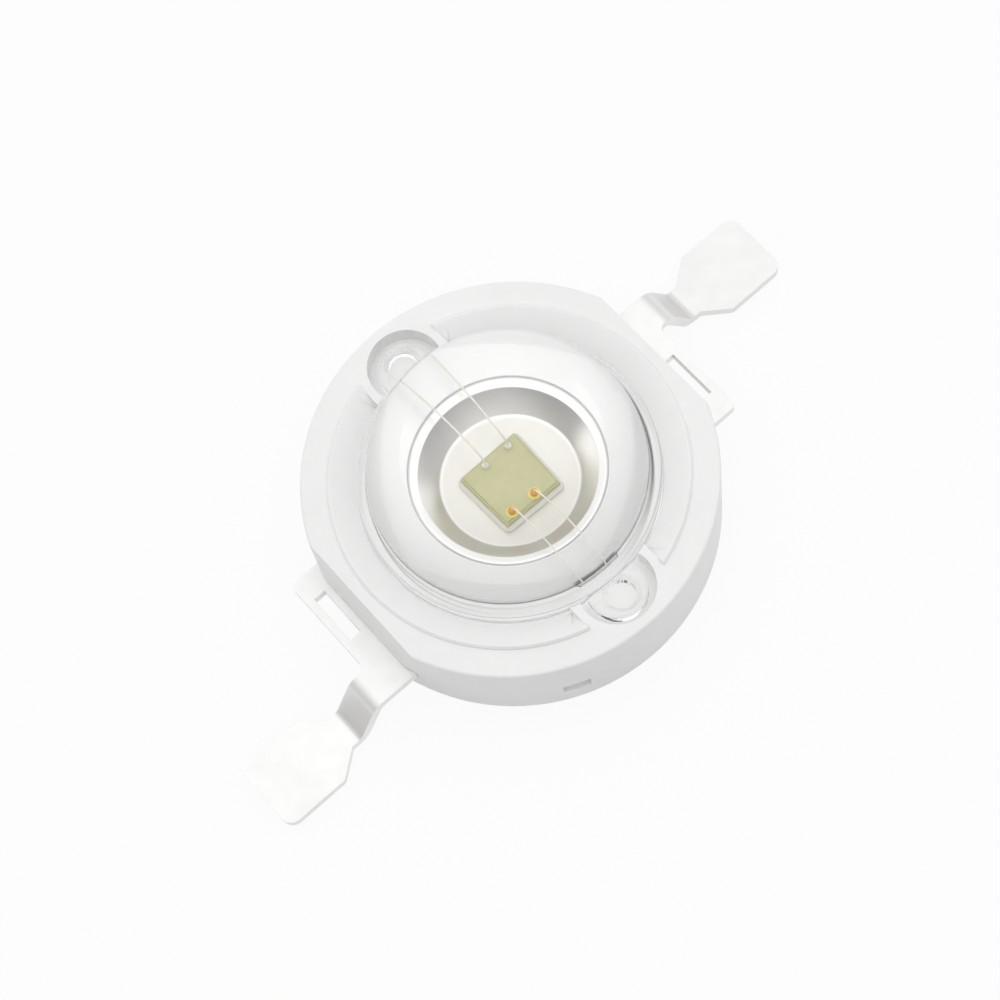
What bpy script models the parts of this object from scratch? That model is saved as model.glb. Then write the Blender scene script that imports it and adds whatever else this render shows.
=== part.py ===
"""Power LED emitter: a bare one-watt light source for soldering to a heat-spreading board.

A white moulded housing holds a silver-plated copper heat slug with a reflector cup,
two gull-wing leads that curve round the slug to raised bond posts, and a clear domed
lens with two filling ears. The chip sits in the cup and four bond wires join it to the
posts, under a clear silicone filling.

All sizes are in millimetres. Every piece hangs under one empty that scales the drawing
to metres, +Z up, with the underside of the slug at zero and the leads along X. The part
looks the same when it is turned half round about Z.
"""

import math

import bmesh
import bpy
from mathutils import Matrix, Vector

MILLIMETRE = 0.001

# Light-emitting chip and the cup that it sits in
CHIP_SIDE = 0.85
CHIP_HEIGHT = 0.11
CHIP_BEVEL = 0.02
DIE_BOND_HEIGHT = 0.03
DIE_BOND_SPREAD = 0.05
CUP_FLOOR_MARGIN = 0.234
CUP_WALL_RUN = 0.28
CUP_DEPTH = 0.21
CUP_LIP_WIDTH = 0.12
CUP_LIP_HEIGHT = 0.05
CUP_LIP_BEVEL = 0.03

# Heat slug
SLUG_SHOULDER_WIDTH = 0.761
SLUG_FOOT_WIDTH = 0.85
SLUG_FOOT_CHAMFER = 0.08
SLUG_DROP = 0.18

# Housing heights
BODY_TOP = 2.45
BODY_BOTTOM = 0.35
BODY_TOP_FILLET = 0.06
BODY_BOTTOM_FILLET = 0.10
FLAT_DRAFT = math.radians(6.0)

# Housing widths, from the slug outwards
COLLAR_WALL = 0.55
SLOPE_WIDTH = 0.46
SLOPE_DROP = 0.33
CREST_WIDTH = 0.08
CREST_HEIGHT = 0.08
TOP_LAND_WIDTH = 0.53
FLAT_INSET = 0.30
SLUG_WEB = 0.16
WELL_DEPTH = 0.43

# Ear pockets, and the level lands that break the slope and crest beside them
EAR_REACH = 0.144
EAR_RADIUS = 0.58
EAR_DROP = 0.15
EAR_HOLE_RADIUS = 0.28
EAR_HOLE_OFFSET = 0.12
EAR_HOLE_SINK = 0.09
EAR_EDGE_ROUND = 0.07
EAR_POCKET_GAP = 0.17
EAR_LAND_WIDTH = 1.84

# Moulding gate mark on the side wall
GATE_ANGLE = math.radians(-114.0)
GATE_WIDTH = 0.54
GATE_HEIGHT = 0.34
GATE_DEPTH = 0.07
GATE_CENTRE = 1.12

# Lens
LENS_SKIRT_WALL = 0.30
LENS_STEP_WIDTH = 0.22
LENS_STEP_RISE = 0.12
LENS_STEP_FILLET = 0.05
LENS_WALL = 0.40
LENS_CAVITY_SHOULDER = math.radians(5.0)

# Leads
LEAD_THICKNESS = 0.22
LEAD_DROP = 1.20
LEAD_REACH = 3.004
ARM_COVER = 0.20
ARM_WIDTH = 0.70
ROOT_REACH = 0.70
ROOT_TAIL = 1.56
ROOT_WINDOW_STRIP = 0.17
ROOT_WINDOW_WIDTH = 0.26
ROOT_WINDOW_LENGTH = 1.10
ROOT_WINDOW_OFFSET = -0.48
ROOT_CORNER = 0.12
NECK_WIDTH = 0.74
NECK_CENTRE = 1.06
NECK_ANGLE = math.radians(60.0)
BEND_RADIUS = 0.30
PAD_WIDTH = 1.54
PAD_STANDOFF = 0.12
PAD_SHOULDER = 0.12
PAD_CHAMFER = 0.52
PAD_CORNER = 0.24
PAD_SHOULDER_ROUND = 0.14

# Bond posts
POST_WIDTH = 0.80
POST_BEND = 0.20
POST_TIP_GAP = 0.055
POST_DROP = 0.10
POST_PROUD = 0.04
POST_SLOT_RUN = 0.10
RISER_FROM_COLLAR = 0.22

# Bond wires, two to each post
WIRE_DIAMETER = 0.025
WIRE_OFFSETS = (0.26, -0.10)
WIRE_FAN = 0.06
WIRE_INSET = 0.09
WIRE_CREST = 0.40
WIRE_CROWN_LEAN = 0.32
WIRE_STITCH = 0.16
WIRE_POINTS = 13
BALL_RADIUS = 0.045
BALL_END_RADIUS = 0.032
BALL_HEIGHT = 0.035
BALL_WAIST_HEIGHT = 0.014
BALL_NECK_HEIGHT = 0.052

# Clearances
SEAT_GAP = 0.02
RISER_GAP = 0.03
LENS_GAP = 0.03
DIE_GAP = 0.01
GEL_GAP = 0.01

# Facets round a full turn
FINE_STEPS = 72
PLAIN_STEPS = 48
SMALL_STEPS = 28

# Facets along a quarter of the dome, an arm, a bend and a fillet
DOME_ROWS = 16
CAVITY_ROWS = 9
ARM_STEPS = 18
BEND_STEPS = 6
CORNER_STEPS = 5
FILLET_STEPS = 3

# Slug sizes that follow
cup_floor_radius = CHIP_SIDE / math.sqrt(2.0) + CUP_FLOOR_MARGIN
cup_mouth_radius = cup_floor_radius + CUP_WALL_RUN
cup_lip_radius = cup_mouth_radius + CUP_LIP_WIDTH
slug_head_radius = cup_lip_radius + SLUG_SHOULDER_WIDTH
slug_foot_radius = slug_head_radius + SLUG_FOOT_WIDTH
slug_top = BODY_TOP - SLUG_DROP
cup_lip_top = slug_top + CUP_LIP_HEIGHT
cup_floor = cup_lip_top - CUP_DEPTH

# Chip and wire heights that follow
die_bond_bottom = cup_floor + DIE_GAP
die_bond_top = die_bond_bottom + DIE_BOND_HEIGHT
chip_bottom = die_bond_top + DIE_GAP
chip_top = chip_bottom + CHIP_HEIGHT

# Lead and post heights that follow
lead_top = BODY_TOP - LEAD_DROP
lead_middle = lead_top - LEAD_THICKNESS / 2
lead_bottom = lead_top - LEAD_THICKNESS
pad_middle = PAD_STANDOFF + LEAD_THICKNESS / 2
post_top = slug_top - POST_DROP
post_middle = post_top - LEAD_THICKNESS / 2
post_tip = slug_head_radius + POST_TIP_GAP

# Housing and lens sizes that follow, from the slug outwards
collar_inner = slug_head_radius + SEAT_GAP
collar_outer = collar_inner + COLLAR_WALL
collar_top = post_top - POST_PROUD
post_slot_end = collar_inner - POST_SLOT_RUN
riser_middle = collar_inner + RISER_FROM_COLLAR + LEAD_THICKNESS / 2
skirt_inner = collar_outer + LENS_GAP
flange_radius = skirt_inner + LENS_SKIRT_WALL
dome_radius = flange_radius - LENS_STEP_WIDTH
well_radius = flange_radius + LENS_GAP
crest_inner = well_radius + SLOPE_WIDTH
crest_outer = crest_inner + CREST_WIDTH
body_radius = crest_outer + TOP_LAND_WIDTH
flat_distance = body_radius - FLAT_INSET
crest_top = BODY_TOP + CREST_HEIGHT
slope_foot = crest_top - SLOPE_DROP
well_floor = BODY_TOP - WELL_DEPTH
foot_recess_top = lead_bottom - SEAT_GAP - SLUG_WEB
foot_recess_radius = slug_foot_radius + SEAT_GAP
slug_foot_top = foot_recess_top - SEAT_GAP
lens_bottom = well_floor + SEAT_GAP
flange_top = BODY_TOP + LENS_STEP_RISE
ear_offset = flange_radius + EAR_REACH
ear_top = BODY_TOP - EAR_DROP
ear_pocket_radius = EAR_RADIUS + EAR_POCKET_GAP
arm_outer = flat_distance - ARM_COVER
arm_inner = arm_outer - ARM_WIDTH
root_outer = flat_distance + ROOT_REACH
root_head = NECK_CENTRE + NECK_WIDTH / 2
tip_half = root_outer + LEAD_REACH


def clear_scene():
    """Start from an empty scene."""
    for item in list(bpy.data.objects):
        bpy.data.objects.remove(item, do_unlink=True)


def new_collection(name):
    """Add a collection to the scene."""
    collection = bpy.data.collections.new(name)
    bpy.context.scene.collection.children.link(collection)
    return collection


def finish(name, colour, roughness, metallic=0.0, alpha=1.0, transmission=0.0, ior=1.45):
    """Make a surface finish."""
    material = bpy.data.materials.new(name)
    material.use_nodes = True
    shader = material.node_tree.nodes["Principled BSDF"]
    shader.inputs["Base Color"].default_value = (*colour, 1.0)
    shader.inputs["Roughness"].default_value = roughness
    shader.inputs["Metallic"].default_value = metallic
    shader.inputs["Alpha"].default_value = alpha
    shader.inputs["Transmission Weight"].default_value = transmission
    shader.inputs["IOR"].default_value = ior
    material.diffuse_color = (*colour, alpha)
    return material


def place(name, mesh, collection, material=None):
    """Put a mesh in the drawing, under the empty that scales it to metres."""
    piece = bpy.data.objects.new(name, mesh)
    collection.objects.link(piece)
    piece.parent = drawing
    if material:
        mesh.materials.append(material)
    if collection is cutters:
        piece.hide_render = True
        piece.display_type = "WIRE"
    return piece


def shade_round(piece, angle=math.radians(35.0)):
    """Shade a piece smooth, but for its real edges."""
    piece.data.shade_smooth()
    piece.data.set_sharp_from_angle(angle=angle)


def boolean(piece, tool, operation="DIFFERENCE"):
    """Cut, join or trim a piece with another."""
    modifier = piece.modifiers.new(operation.lower() + "_" + tool.name, "BOOLEAN")
    modifier.operation = operation
    modifier.object = tool
    modifier.solver = "EXACT"
    return modifier


def turned(name, profile, collection, material=None, steps=PLAIN_STEPS, closed=False):
    """Turn a profile of (radius, height) points about Z; it runs down its outer side."""
    mesh = bpy.data.meshes.new(name)
    last = len(profile) - 1
    edges = [(i, i + 1) for i in range(last)] + ([(last, 0)] if closed else [])
    mesh.from_pydata([(radius, 0.0, height) for radius, height in profile], edges, [])
    piece = place(name, mesh, collection, material)
    screw = piece.modifiers.new("turn", "SCREW")
    screw.angle = math.tau
    screw.steps = steps
    screw.render_steps = steps
    screw.use_merge_vertices = True
    screw.merge_threshold = 0.0001
    screw.use_smooth_shade = True
    return piece


def baked(source, name, collection, material=None):
    """Turn an object, with its modifiers, into a plain mesh object and drop the object."""
    bpy.context.view_layer.update()
    graph = bpy.context.evaluated_depsgraph_get()
    mesh = bpy.data.meshes.new_from_object(source.evaluated_get(graph), depsgraph=graph)
    mesh.name = name
    bridge = bmesh.new()
    bridge.from_mesh(mesh)
    bridge.transform(source.matrix_local)
    bmesh.ops.remove_doubles(bridge, verts=bridge.verts, dist=0.0001)
    bridge.to_mesh(mesh)
    bridge.free()
    bpy.data.objects.remove(source, do_unlink=True)
    return place(name, mesh, collection, material)


def prism(name, outline, bottom, top, collection, material=None):
    """Raise a flat outline of (x, y) points from one height to another."""
    curve = bpy.data.curves.new(name + "_outline", "CURVE")
    curve.dimensions = "2D"
    curve.fill_mode = "BOTH"
    curve.extrude = (top - bottom) / 2
    spline = curve.splines.new("POLY")
    spline.points.add(len(outline) - 1)
    for point, (x, y) in zip(spline.points, outline):
        point.co = (x, y, 0.0, 1.0)
    spline.use_cyclic_u = True
    source = bpy.data.objects.new(name + "_outline", curve)
    collection.objects.link(source)
    source.location.z = (top + bottom) / 2
    return baked(source, name, collection, material)


def box(name, low, high, collection, material=None):
    """Make a box between two corners."""
    low, high = Vector(low), Vector(high)
    mesh = bpy.data.meshes.new(name)
    bridge = bmesh.new()
    bmesh.ops.create_cube(bridge, size=1.0)
    bmesh.ops.scale(bridge, vec=high - low, verts=bridge.verts)
    bmesh.ops.translate(bridge, vec=(high + low) / 2, verts=bridge.verts)
    bridge.to_mesh(mesh)
    bridge.free()
    return place(name, mesh, collection, material)


def cylinder(name, radius, bottom, top, x, y, collection, steps=SMALL_STEPS, top_radius=None):
    """Make an upright cylinder, or a cone where the top radius differs."""
    mesh = bpy.data.meshes.new(name)
    bridge = bmesh.new()
    upper = radius if top_radius is None else top_radius
    shift = Matrix.Translation((x, y, (top + bottom) / 2))
    bmesh.ops.create_cone(bridge, cap_ends=True, segments=steps, radius1=radius,
                          radius2=upper, depth=top - bottom, matrix=shift)
    bridge.to_mesh(mesh)
    bridge.free()
    return place(name, mesh, collection)


def arc(centre, radius, start, end, steps):
    """Give the points of an arc from one angle to another."""
    points = []
    for i in range(steps + 1):
        angle = start + (end - start) * i / steps
        points.append((centre[0] + radius * math.cos(angle), centre[1] + radius * math.sin(angle)))
    return points


def rounded(corners, steps=CORNER_STEPS):
    """Round the corners of a closed or open path; each corner is (x, y, radius)."""
    path = []
    for i, (x, y, radius) in enumerate(corners):
        here = Vector((x, y))
        if radius <= 0.0:
            path.append((x, y))
            continue
        before = (Vector(corners[i - 1][:2]) - here).normalized()
        after = (Vector(corners[(i + 1) % len(corners)][:2]) - here).normalized()
        half = before.angle(after) / 2
        reach = radius / math.tan(half)
        centre = here + (before + after).normalized() * (radius / math.sin(half))
        first = here + before * reach - centre
        turn = first.angle_signed(here + after * reach - centre)
        for k in range(steps + 1):
            path.append(tuple(centre + Matrix.Rotation(-turn * k / steps, 2) @ first))
    return path


def strip_section(path, thickness):
    """Give the outline of a strip of even thickness that follows a path."""
    left, right = [], []
    for i, point in enumerate(path):
        here = Vector(point)
        before = (here - Vector(path[i - 1])).normalized() if i else None
        after = (Vector(path[i + 1]) - here).normalized() if i < len(path) - 1 else None
        along = ((before or after) + (after or before)).normalized()
        spread = thickness / 2 / along.dot(after or before)
        side = Vector((-along.y, along.x)) * spread
        left.append(tuple(here + side))
        right.append(tuple(here - side))
    return left + right[::-1]


def stood_up(piece, turn):
    """Stand a prism on edge: its outline's second axis becomes Z."""
    bridge = bmesh.new()
    bridge.from_mesh(piece.data)
    bmesh.ops.transform(bridge, matrix=turn, verts=bridge.verts)
    bridge.to_mesh(piece.data)
    bridge.free()
    return piece


X_AND_Z = Matrix.Rotation(math.radians(90.0), 4, "X")
Y_AND_Z = Matrix.Rotation(math.radians(90.0), 4, "Z") @ X_AND_Z


def cavity_profile(inset, bottom):
    """Give the hollow of the lens, from its top on the axis down its side to the bottom."""
    radius = dome_radius - LENS_WALL - inset
    points = arc((0.0, flange_top), radius, math.pi / 2, LENS_CAVITY_SHOULDER, CAVITY_ROWS)
    points[0] = (0.0, flange_top + radius)
    points.append((skirt_inner - inset, post_top + LENS_GAP - inset))
    points.append((skirt_inner - inset, bottom))
    return points


def make_heat_slug():
    """Turned slug: foot disc, head with a raised lip, and the reflector cup."""
    profile = [
        (0.0, cup_floor),
        (cup_floor_radius, cup_floor),
        (cup_mouth_radius, cup_lip_top),
        (cup_lip_radius - CUP_LIP_BEVEL, cup_lip_top),
        (cup_lip_radius, cup_lip_top - CUP_LIP_BEVEL),
        (cup_lip_radius, slug_top),
        (slug_head_radius, slug_top),
        (slug_head_radius, slug_foot_top),
        (slug_foot_radius, slug_foot_top),
        (slug_foot_radius, SLUG_FOOT_CHAMFER),
        (slug_foot_radius - SLUG_FOOT_CHAMFER, 0.0),
        (0.0, 0.0),
    ]
    return turned("heat_slug", profile, parts, silver_plate)


def lead_outline(grow=0.0):
    """Outline, seen from above, of the +X lead: pad, neck, root, arm and post finger."""
    pad_start = neck_end + PAD_SHOULDER
    low, high = NECK_CENTRE - NECK_WIDTH / 2, NECK_CENTRE + NECK_WIDTH / 2
    pad_low, pad_high = NECK_CENTRE - PAD_WIDTH / 2, NECK_CENTRE + PAD_WIDTH / 2
    head, tail = root_head + grow, ROOT_TAIL + grow
    outer, inner = arm_outer + grow, arm_inner - grow
    finger = POST_WIDTH / 2 + grow
    outside = rounded([
        (math.sqrt(inner ** 2 - tail ** 2), -tail, 0.0),
        (root_outer, -tail, ROOT_CORNER),
        (root_outer, low, ROOT_CORNER),
        (pad_start, low, 0.0),
        (pad_start + PAD_CHAMFER, pad_low, PAD_SHOULDER_ROUND),
        (tip_half, pad_low, PAD_CORNER),
        (tip_half, pad_high, PAD_CORNER),
        (pad_start + PAD_CHAMFER, pad_high, PAD_SHOULDER_ROUND),
        (pad_start, high, 0.0),
    ])
    start = math.asin(head / outer)
    far = math.pi / 2 + math.asin(finger / outer)
    near = math.pi / 2 - math.asin(finger / inner)
    back = -math.asin(tail / inner)
    riser_side = riser_middle + LEAD_THICKNESS / 2
    return (outside + arc((0.0, 0.0), outer, start, far, ARM_STEPS)
            + [(-finger, riser_side), (finger, riser_side)]
            + arc((0.0, 0.0), inner, near, back, ARM_STEPS)[:-1])


def post_section(grow=0.0, tip=post_tip):
    """Side view of the riser and post that stand on the arm's finger."""
    path = rounded([
        (arm_inner, lead_middle, 0.0),
        (riser_middle, lead_middle, POST_BEND),
        (riser_middle, post_middle, POST_BEND),
        (tip - grow, post_middle, 0.0),
    ])
    return strip_section(path, LEAD_THICKNESS + 2 * grow)


def half_turn(piece):
    """Turn a piece half round about Z."""
    bridge = bmesh.new()
    bridge.from_mesh(piece.data)
    bmesh.ops.rotate(bridge, matrix=Matrix.Rotation(math.pi, 3, "Z"), verts=bridge.verts)
    bridge.to_mesh(piece.data)
    bridge.free()


def make_lead(name, turned_round):
    """Stamped and bent lead: a flat blank trimmed from a gull-wing strip, with its post."""
    reach = arm_outer + POST_WIDTH
    blank = prism(name, lead_outline(), -LEAD_THICKNESS, BODY_TOP, parts, silver_lead)
    path = [(-reach, lead_middle)]
    path += arc((neck_start, lead_middle - BEND_RADIUS), BEND_RADIUS, math.pi / 2,
                math.pi / 2 - NECK_ANGLE, BEND_STEPS)
    path += arc((neck_end, pad_middle + BEND_RADIUS), BEND_RADIUS, -math.pi / 2 - NECK_ANGLE,
                -math.pi / 2, BEND_STEPS)
    path += [(reach + tip_half, pad_middle)]
    strip = prism(name + "_strip", strip_section(path, LEAD_THICKNESS), -reach, reach, cutters)
    stood_up(strip, X_AND_Z)
    window_edge = root_outer - ROOT_WINDOW_STRIP
    window = box(name + "_window",
                 (window_edge - ROOT_WINDOW_WIDTH, ROOT_WINDOW_OFFSET - ROOT_WINDOW_LENGTH / 2, 0.0),
                 (window_edge, ROOT_WINDOW_OFFSET + ROOT_WINDOW_LENGTH / 2, BODY_TOP), cutters)
    post = prism(name + "_post", post_section(), -POST_WIDTH / 2, POST_WIDTH / 2, cutters)
    stood_up(post, Y_AND_Z)
    if turned_round:
        for piece in (blank, strip, window, post):
            half_turn(piece)
    boolean(blank, strip, "INTERSECT")
    boolean(blank, window)
    boolean(blank, post, "UNION")
    return blank


def make_lead_slot(name, turned_round):
    """Room that a lead takes up inside the housing."""
    slot = prism(name, lead_outline(SEAT_GAP), lead_bottom - SEAT_GAP, lead_top + SEAT_GAP, cutters)
    if turned_round:
        half_turn(slot)
    return slot


def make_post_room(name, gap, turned_round, tip=post_tip):
    """Room that a riser and its post take up in the housing or the filling."""
    room = prism(name, post_section(gap, tip), -POST_WIDTH / 2 - gap, POST_WIDTH / 2 + gap, cutters)
    stood_up(room, Y_AND_Z)
    if turned_round:
        half_turn(room)
    return room


def make_housing():
    """Moulded white body: round with two flats, a lens well, a raised crest and ear pockets."""
    profile = [
        (collar_inner, collar_top),
        (collar_outer, collar_top),
        (collar_outer, well_floor),
        (well_radius, well_floor),
        (well_radius, BODY_TOP),
    ]
    profile += arc((body_radius - BODY_TOP_FILLET, BODY_TOP - BODY_TOP_FILLET), BODY_TOP_FILLET,
                   math.pi / 2, 0.0, FILLET_STEPS)
    profile += arc((body_radius - BODY_BOTTOM_FILLET, BODY_BOTTOM + BODY_BOTTOM_FILLET),
                   BODY_BOTTOM_FILLET, 0.0, -math.pi / 2, FILLET_STEPS)
    profile += [
        (foot_recess_radius, BODY_BOTTOM),
        (foot_recess_radius, foot_recess_top),
        (collar_inner, foot_recess_top),
    ]
    body = turned("housing", profile, parts, white_moulding, FINE_STEPS, closed=True)
    boolean(body, make_crest(), "UNION")
    boolean(body, make_slope())
    for side, word in ((1, "north"), (-1, "south")):
        pocket = cylinder("ear_pocket_" + word, ear_pocket_radius, well_floor,
                          crest_top + CREST_HEIGHT, 0.0, side * ear_offset, cutters)
        boolean(body, pocket)
        boolean(body, make_flat(side, word))
    for word, turned_round in (("anode", False), ("cathode", True)):
        boolean(body, make_lead_slot(word + "_slot", turned_round))
        boolean(body, make_post_room(word + "_riser_slot", RISER_GAP, turned_round, post_slot_end))
    boolean(body, make_gate())
    return body


def ear_lands(name, spare=0.0):
    """Level band across both ears, where a ring round the mouth stops; spare widens it."""
    half = EAR_LAND_WIDTH / 2 + spare
    corners = [(-half, -body_radius), (half, -body_radius), (half, body_radius), (-half, body_radius)]
    return prism(name, corners, well_floor - CREST_HEIGHT, crest_top + 2 * CREST_HEIGHT, cutters)


def make_slope():
    """Sloping mouth that leads down to the lens, stopped short of the ears."""
    overshoot = CREST_HEIGHT
    slant = SLOPE_WIDTH / SLOPE_DROP
    profile = [
        (well_radius - overshoot, crest_top + overshoot),
        (crest_inner + slant * overshoot, crest_top + overshoot),
        (well_radius - overshoot, slope_foot - overshoot / slant),
    ]
    slope = turned("slope_cutter", profile, cutters, steps=FINE_STEPS, closed=True)
    boolean(slope, ear_lands("slope_stop"))
    return slope


def make_crest():
    """Low raised ring round the mouth, stopped short of the ears; the slope trims its inner side."""
    root = BODY_TOP - CREST_HEIGHT / 2
    slant = SLOPE_WIDTH / SLOPE_DROP
    middle = crest_inner + CREST_WIDTH / 2
    spare_inner = crest_inner - slant * (crest_top - root) - CREST_WIDTH / 2
    profile = [
        (spare_inner, crest_top),
        (middle, crest_top),
        (crest_outer, crest_top - CREST_WIDTH / 2),
        (crest_outer, root),
        (spare_inner, root),
    ]
    crest = turned("crest_ring", profile, cutters, steps=FINE_STEPS, closed=True)
    boolean(crest, ear_lands("crest_stop", CREST_WIDTH / 2))
    return crest


def make_flat(side, word):
    """Slightly drafted flat where a lead leaves the body."""
    block = box("lead_flat_" + word, (0.0, -body_radius, -body_radius),
                (body_radius, body_radius, body_radius), cutters)
    block.location = (side * flat_distance, 0.0, BODY_TOP)
    block.rotation_euler = (0.0, -FLAT_DRAFT, 0.0 if side > 0 else math.pi)
    return block


def make_gate():
    """Shallow mark on the side wall where the plastic was fed in."""
    gate = box("gate_mark", (body_radius - GATE_DEPTH, -GATE_WIDTH / 2, GATE_CENTRE - GATE_HEIGHT / 2),
               (body_radius + GATE_DEPTH, GATE_WIDTH / 2, GATE_CENTRE + GATE_HEIGHT / 2), cutters)
    gate.rotation_euler = (0.0, 0.0, GATE_ANGLE)
    return gate


def make_lens():
    """Clear lens: dome, stepped flange and skirt, two ears with filling holes, hollow inside."""
    foot_angle = math.asin(LENS_STEP_FILLET / dome_radius)
    profile = arc((0.0, flange_top), dome_radius, math.pi / 2, foot_angle, DOME_ROWS)
    profile[0] = (0.0, flange_top + dome_radius)
    profile += [
        (dome_radius + LENS_STEP_FILLET, flange_top),
        (flange_radius - LENS_STEP_FILLET, flange_top),
        (flange_radius, flange_top - LENS_STEP_FILLET),
        (flange_radius, lens_bottom),
        (0.0, lens_bottom),
    ]
    lens = turned("lens", profile, parts, clear_lens, FINE_STEPS)
    for side, word in ((1, "north"), (-1, "south")):
        ear = [
            (0.0, ear_top),
            (EAR_RADIUS - EAR_EDGE_ROUND, ear_top),
            (EAR_RADIUS, ear_top - EAR_EDGE_ROUND),
            (EAR_RADIUS, lens_bottom),
            (0.0, lens_bottom),
        ]
        tab = turned("ear_" + word, ear, cutters, steps=SMALL_STEPS)
        tab.location.y = side * ear_offset
        boolean(lens, tab, "UNION")
        hole_y = side * (ear_offset + EAR_HOLE_OFFSET)
        mouth = EAR_HOLE_RADIUS + EAR_HOLE_SINK
        hole = [
            (0.0, ear_top + SEAT_GAP),
            (mouth + SEAT_GAP, ear_top + SEAT_GAP),
            (EAR_HOLE_RADIUS, ear_top - EAR_HOLE_SINK),
            (EAR_HOLE_RADIUS, lens_bottom - LENS_GAP),
            (0.0, lens_bottom - LENS_GAP),
        ]
        drill = turned("ear_hole_" + word, hole, cutters, steps=SMALL_STEPS)
        drill.location.y = hole_y
        boolean(lens, drill)
    hollow = cavity_profile(0.0, lens_bottom - LENS_GAP) + [(0.0, lens_bottom - LENS_GAP)]
    boolean(lens, turned("lens_hollow", hollow, cutters))
    return lens


def make_filling(wires):
    """Clear silicone that fills the lens, the cup and the room round the posts."""
    shoulder = slug_top + GEL_GAP
    slant_gap = GEL_GAP * 2
    profile = cavity_profile(GEL_GAP, collar_top + GEL_GAP) + [
        (slug_head_radius + SEAT_GAP + GEL_GAP, collar_top + GEL_GAP),
        (slug_head_radius + SEAT_GAP + GEL_GAP, shoulder),
        (cup_lip_radius + GEL_GAP, shoulder),
        (cup_lip_radius + GEL_GAP, cup_lip_top + GEL_GAP),
        (cup_mouth_radius - slant_gap, cup_lip_top + GEL_GAP),
        (cup_floor_radius - slant_gap, cup_floor + GEL_GAP),
        (0.0, cup_floor + GEL_GAP),
    ]
    filling = turned("silicone_filling", profile, parts, clear_silicone)
    half = CHIP_SIDE / 2 + DIE_BOND_SPREAD + GEL_GAP
    boolean(filling, box("chip_room", (-half, -half, die_bond_bottom - GEL_GAP),
                         (half, half, chip_top + GEL_GAP), cutters))
    for word, turned_round in (("anode", False), ("cathode", True)):
        boolean(filling, make_post_room(word + "_post_room", 2 * GEL_GAP, turned_round))
    for path, side, number in wires:
        boolean(filling, make_wire("wire_room_%d" % number, path, GEL_GAP, cutters))
    return filling


def make_chip():
    """Square chip with its upper edges bevelled."""
    half = CHIP_SIDE / 2
    chip = box("led_chip", (-half, -half, chip_bottom), (half, half, chip_top), parts, chip_finish)
    bridge = bmesh.new()
    bridge.from_mesh(chip.data)
    upper = [edge for edge in bridge.edges if all(v.co.z > chip_top - CHIP_BEVEL for v in edge.verts)]
    bmesh.ops.bevel(bridge, geom=upper, offset=CHIP_BEVEL, segments=1, affect="EDGES")
    bridge.to_mesh(chip.data)
    bridge.free()
    return chip


def make_die_bond():
    """Thin pad of conductive adhesive that spreads a little beyond the chip."""
    upper = CHIP_SIDE / math.sqrt(2.0)
    lower = upper + DIE_BOND_SPREAD
    bond = cylinder("die_bond", lower, die_bond_bottom, die_bond_top, 0.0, 0.0, parts, steps=4,
                    top_radius=upper)
    bond.data.transform(Matrix.Rotation(math.radians(45.0), 4, "Z"))
    bond.data.materials.append(bond_finish)
    return bond


def wire_path(offset, side):
    """Points and thickness factors of one bond wire, from its ball to its stitch."""
    ball = WIRE_DIAMETER / 2
    start = Vector((offset, CHIP_SIDE / 2 - WIRE_INSET, chip_top + DIE_GAP))
    end_x = offset + math.copysign(WIRE_FAN, offset)
    end = Vector((end_x, post_tip + WIRE_STITCH, post_top + DIE_GAP + ball))
    knee = start + Vector((0.0, 0.0, WIRE_CREST + BALL_HEIGHT))
    crown = Vector((end.x, (start.y + end.y) / 2 + WIRE_CROWN_LEAN, cup_lip_top + WIRE_CREST))
    waist = start + Vector((0.0, 0.0, BALL_WAIST_HEIGHT))
    crest = start + Vector((0.0, 0.0, BALL_HEIGHT))
    lift = start + Vector((0.0, 0.0, BALL_NECK_HEIGHT))
    flat, full = BALL_END_RADIUS / ball, BALL_RADIUS / ball
    points = [(start, flat), (waist, full), (crest, flat), (lift, 1.0)]
    for i in range(1, WIRE_POINTS + 1):
        t = i / WIRE_POINTS
        s = 1.0 - t
        place_at = s ** 3 * lift + 3 * s * s * t * knee + 3 * s * t * t * crown + t ** 3 * end
        points.append((place_at, 1.0))
    return [(Vector((side * p.x, side * p.y, p.z)), r) for p, r in points]


def make_wire(name, path, gap, collection, material=None):
    """Round wire along a path, or the room for it where a gap is given."""
    curve = bpy.data.curves.new(name + "_line", "CURVE")
    curve.dimensions = "3D"
    curve.bevel_depth = WIRE_DIAMETER / 2
    curve.bevel_resolution = 2
    curve.use_fill_caps = True
    spline = curve.splines.new("POLY")
    spline.points.add(len(path) - 1)
    for point, (place_at, factor) in zip(spline.points, path):
        point.co = (*place_at, 1.0)
        point.radius = factor + gap / curve.bevel_depth
    if gap:
        spline.points[0].co.z -= 2 * gap
    source = bpy.data.objects.new(name + "_line", curve)
    collection.objects.link(source)
    return baked(source, name, collection, material)


clear_scene()
parts = new_collection("power_led_emitter")
cutters = new_collection("cutters")
drawing = bpy.data.objects.new("millimetre_drawing", None)
parts.objects.link(drawing)
drawing.scale = (MILLIMETRE, MILLIMETRE, MILLIMETRE)

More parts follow.
